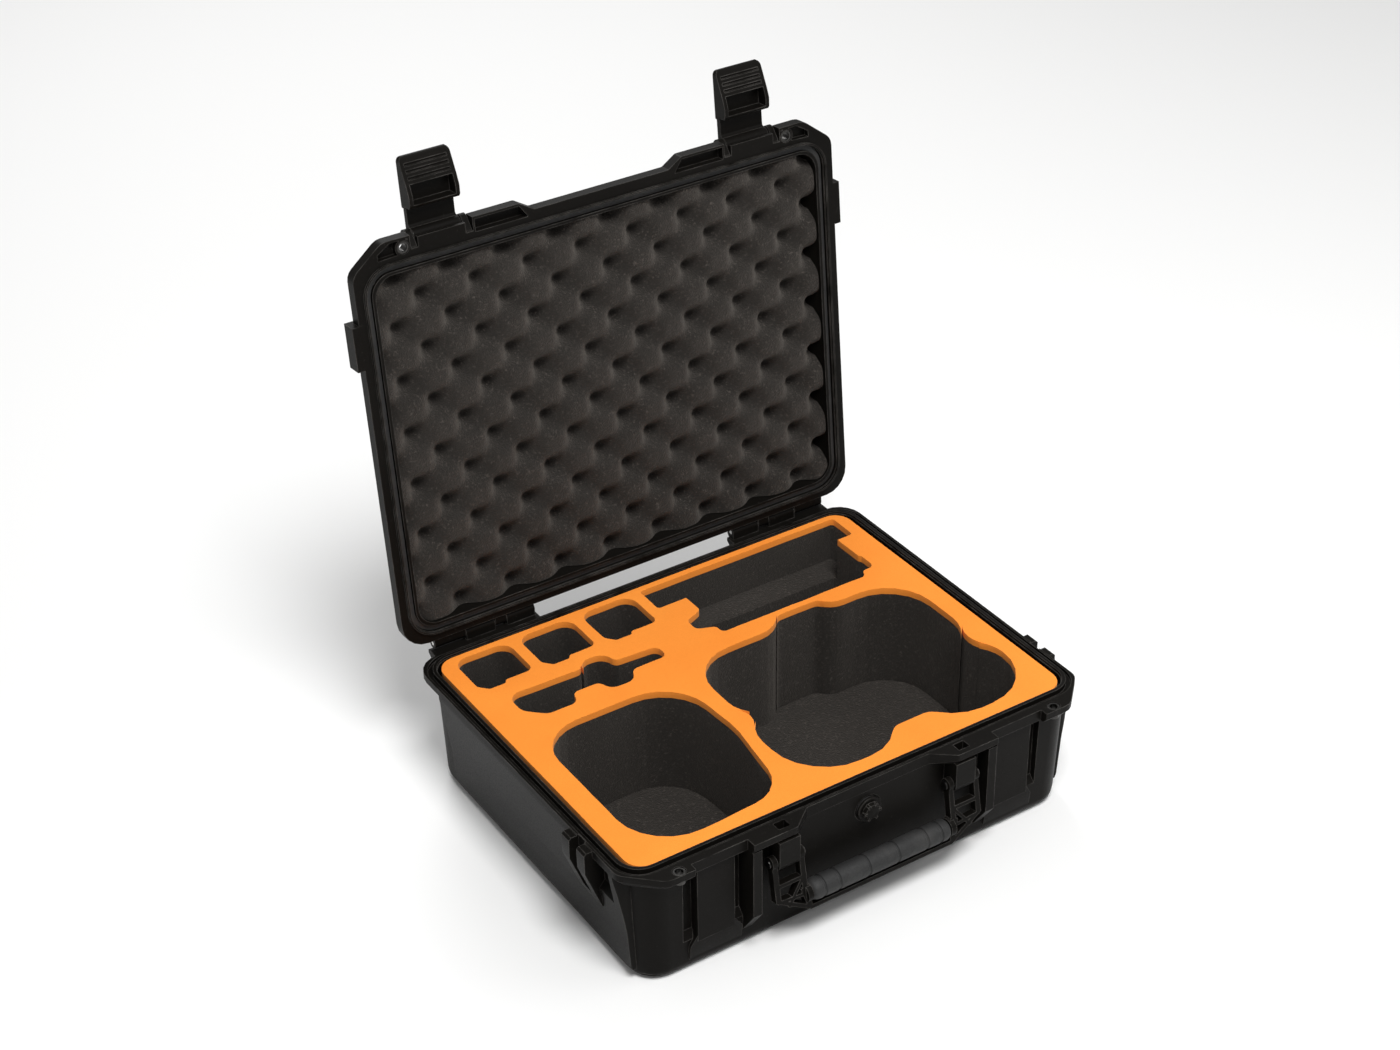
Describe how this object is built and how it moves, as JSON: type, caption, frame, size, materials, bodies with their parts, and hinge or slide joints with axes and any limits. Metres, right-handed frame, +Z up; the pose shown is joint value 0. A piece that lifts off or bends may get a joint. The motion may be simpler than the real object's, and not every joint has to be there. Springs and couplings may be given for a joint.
{
  "type": "drone carrying case",
  "caption": "Hard moulded carrying case for a camera drone kit, hinged lid, over-centre latches, folding handle and die-cut foam pockets.",
  "frame": {"origin": "centre of the underside of the base, under the middle of the foam insert", "axes": "+X to the right seen from the front (the handle's side), +Y from the handle towards the hinges, +Z up out of the open base"},
  "size_m": [0.456, 0.4231, 0.526],
  "materials": {
    "plastic": "fine-grained moulded polypropylene",
    "rubber": "soft matt",
    "steel": "satin",
    "dark_steel": "blackened",
    "dark_foam": "open-cell foam",
    "orange_foam": "closed-cell foam sheet"
  },
  "bodies": {
    "base": {"base_shell": "plastic", "foam_bottom_pad": "dark_foam", "foam_block": "dark_foam", "foam_top_sheet": "orange_foam", "valve_collar": "plastic", "valve_seal": "rubber", "valve_nut": "plastic", "hinge_pin_left": "steel", "hinge_pin_right": "steel", "handle_pin_left": "dark_steel", "handle_pin_right": "dark_steel", "base_eyelet_left": "dark_steel", "base_eyelet_right": "dark_steel"},
    "lid": {"lid_shell": "plastic", "lid_gasket": "rubber", "lid_foam": "dark_foam", "lid_eyelet_left": "dark_steel", "lid_eyelet_right": "dark_steel", "latch_pin_left": "steel", "latch_pin_right": "steel"},
    "latch_left": {"latch_left": "plastic"},
    "latch_right": {"latch_right": "plastic"},
    "handle": {"handle_frame": "plastic", "handle_grip": "rubber"},
    "valve_knob": {"valve_knob": "plastic"}
  },
  "joints": [
    {"name": "lid_hinge", "type": "hinge", "parent": "base", "child": "lid", "pos_m": [0, 0.1745, 0.117], "axis": [1, 0, 0], "range_deg": [0, 95.5]},
    {"name": "latch_left_pivot", "type": "hinge", "parent": "lid", "child": "latch_left", "pos_m": [-0.1435, 0.21402, 0.46481], "axis": [1, 0, 0], "range_deg": [0, 90]},
    {"name": "latch_right_pivot", "type": "hinge", "parent": "lid", "child": "latch_right", "pos_m": [0.1435, 0.21402, 0.46481], "axis": [1, 0, 0], "range_deg": [0, 90]},
    {"name": "handle_swing", "type": "hinge", "parent": "base", "child": "handle", "pos_m": [0, -0.174, 0.081], "axis": [-1, 0, 0], "range_deg": [0, 90]},
    {"name": "valve_turn", "type": "hinge", "parent": "base", "child": "valve_knob", "pos_m": [0, -0.17, 0.084], "axis": [0, -1, 0], "range_deg": [0, 270]}
  ]
}
